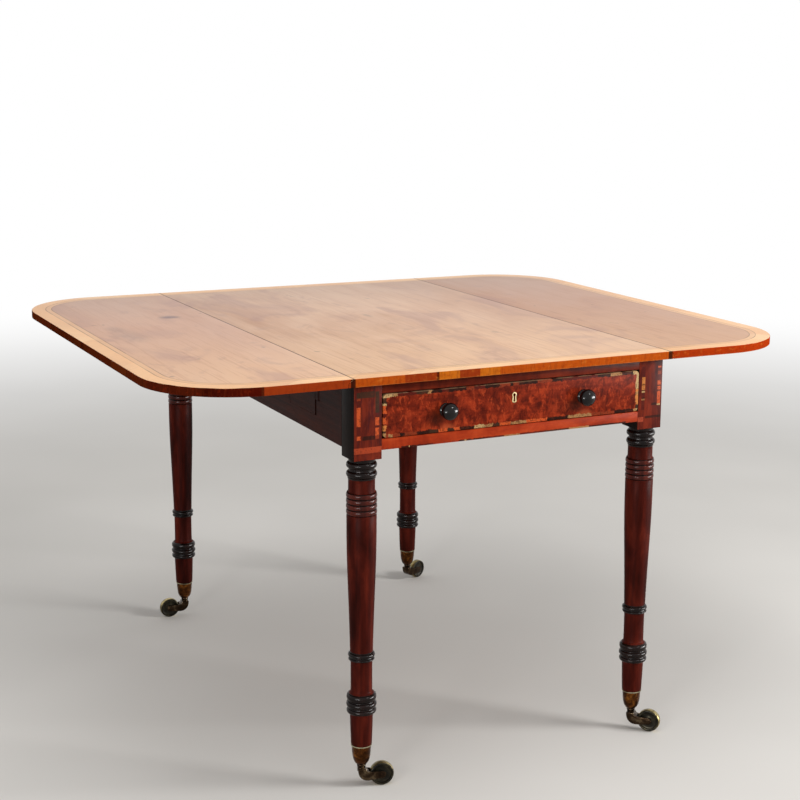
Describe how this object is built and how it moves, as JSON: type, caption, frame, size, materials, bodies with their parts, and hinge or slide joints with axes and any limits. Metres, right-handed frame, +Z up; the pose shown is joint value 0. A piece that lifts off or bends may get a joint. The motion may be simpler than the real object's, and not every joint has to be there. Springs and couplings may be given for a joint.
{
  "type": "drop-leaf breakfast table",
  "caption": "Breakfast table with drop leaves on rule joints, fly brackets, a frieze drawer and ring-turned legs on brass cup casters.",
  "frame": {"origin": "on the floor under the middle of the top", "axes": "+Z up, -Y towards the drawer end, X across the table from leaf to leaf"},
  "size_m": [1.222, 1.058, 0.72],
  "materials": {
    "figured_top": "french polished, figured, with a pale crossband and dark strings",
    "mahogany": "french polished, dark red-brown",
    "beech": "stained, waxed",
    "pine": "aged, unpolished",
    "drawer_oak": "aged, waxed",
    "ebonised_wood": "ebonised and polished",
    "hinge_iron": "dark, slightly rusted",
    "lock_steel": "dull",
    "cup_brass": "polished, aged",
    "caster_brass": "dark patina",
    "wheel_brass": "dark patina, worn bright on the tread"
  },
  "bodies": {
    "frame": {"back_left_leg": "mahogany", "back_right_leg": "mahogany", "front_left_leg": "mahogany", "front_right_leg": "mahogany", "left_side_rail": "pine", "right_side_rail": "pine", "left_fly_rail": "beech", "right_fly_rail": "beech", "front_top_rail": "mahogany", "front_bottom_rail": "mahogany", "back_rail": "mahogany", "dummy_drawer_front": "mahogany", "dummy_knobs": "ebonised_wood", "left_runner": "pine", "right_runner": "pine", "left_kicker": "pine", "right_kicker": "pine", "drawer_stops": "pine", "glue_blocks": "pine", "centre_top": "figured_top", "hinge_top_flaps": "hinge_iron", "caster_cups": "cup_brass"},
    "left_leaf": {"left_leaf": "figured_top", "left_leaf_flaps": "hinge_iron"},
    "right_leaf": {"right_leaf": "figured_top", "right_leaf_flaps": "hinge_iron"},
    "drawer": {"drawer_front": "mahogany", "drawer_left_side": "drawer_oak", "drawer_right_side": "drawer_oak", "drawer_back": "drawer_oak", "drawer_bottom": "drawer_oak", "drawer_knobs": "ebonised_wood", "lock_case": "lock_steel"},
    "lock_bolt": {"lock_bolt": "lock_steel"},
    "front_left_bracket": {"front_left_fly_bracket": "beech"},
    "front_left_caster": {"front_left_horn": "caster_brass"},
    "front_left_wheel": {"front_left_wheel": "wheel_brass"},
    "front_right_bracket": {"front_right_fly_bracket": "beech"},
    "front_right_caster": {"front_right_horn": "caster_brass"},
    "front_right_wheel": {"front_right_wheel": "wheel_brass"},
    "back_left_bracket": {"back_left_fly_bracket": "beech"},
    "back_left_caster": {"back_left_horn": "caster_brass"},
    "back_left_wheel": {"back_left_wheel": "wheel_brass"},
    "back_right_bracket": {"back_right_fly_bracket": "beech"},
    "back_right_caster": {"back_right_horn": "caster_brass"},
    "back_right_wheel": {"back_right_wheel": "wheel_brass"}
  },
  "joints": [
    {"name": "left_leaf_hinge", "type": "hinge", "parent": "frame", "child": "left_leaf", "pos_m": [-0.306, 0, 0.7085], "axis": [0, 1, 0], "range_deg": [-90, 0]},
    {"name": "right_leaf_hinge", "type": "hinge", "parent": "frame", "child": "right_leaf", "pos_m": [0.306, 0, 0.7085], "axis": [0, -1, 0], "range_deg": [-90, 0]},
    {"name": "front_left_bracket_hinge", "type": "hinge", "parent": "frame", "child": "front_left_bracket", "pos_m": [-0.2915, -0.35, 0.625], "axis": [0, 0, 1], "range_deg": [0, 90]},
    {"name": "front_right_bracket_hinge", "type": "hinge", "parent": "frame", "child": "front_right_bracket", "pos_m": [0.2915, -0.35, 0.625], "axis": [0, 0, -1], "range_deg": [0, 90]},
    {"name": "back_left_bracket_hinge", "type": "hinge", "parent": "frame", "child": "back_left_bracket", "pos_m": [-0.2915, 0.35, 0.625], "axis": [0, 0, -1], "range_deg": [0, 90]},
    {"name": "back_right_bracket_hinge", "type": "hinge", "parent": "frame", "child": "back_right_bracket", "pos_m": [0.2915, 0.35, 0.625], "axis": [0, 0, 1], "range_deg": [0, 90]},
    {"name": "drawer_slide", "type": "slide", "parent": "frame", "child": "drawer", "axis": [0, -1, 0], "range_m": [0, 0.43]},
    {"name": "lock_bolt_slide", "type": "slide", "parent": "drawer", "child": "lock_bolt", "axis": [0, 0, 1], "range_m": [0, 0.005]},
    {"name": "front_left_swivel", "type": "hinge", "parent": "frame", "child": "front_left_caster", "pos_m": [-0.2755, -0.477, 0.03], "axis": [0, 0, 1], "continuous": true},
    {"name": "front_left_wheel_spin", "type": "hinge", "parent": "front_left_caster", "child": "front_left_wheel", "pos_m": [-0.24203, -0.48723, 0.021], "axis": [0.2924, 0.9563, 0], "continuous": true},
    {"name": "front_right_swivel", "type": "hinge", "parent": "frame", "child": "front_right_caster", "pos_m": [0.2755, -0.477, 0.03], "axis": [0, 0, 1], "continuous": true},
    {"name": "front_right_wheel_spin", "type": "hinge", "parent": "front_right_caster", "child": "front_right_wheel", "pos_m": [0.29892, -0.50301, 0.021], "axis": [0.7431, 0.6691, 0], "continuous": true},
    {"name": "back_left_swivel", "type": "hinge", "parent": "frame", "child": "back_left_caster", "pos_m": [-0.2755, 0.477, 0.03], "axis": [0, 0, 1], "continuous": true},
    {"name": "back_left_wheel_spin", "type": "hinge", "parent": "back_left_caster", "child": "back_left_wheel", "pos_m": [-0.31045, 0.47883, 0.021], "axis": [-0.0523, -0.9986, 0], "continuous": true},
    {"name": "back_right_swivel", "type": "hinge", "parent": "frame", "child": "back_right_caster", "pos_m": [0.2755, 0.477, 0.03], "axis": [0, 0, 1], "continuous": true},
    {"name": "back_right_wheel_spin", "type": "hinge", "parent": "back_right_caster", "child": "back_right_wheel", "pos_m": [0.30772, 0.49068, 0.021], "axis": [-0.3907, 0.9205, 0], "continuous": true}
  ]
}
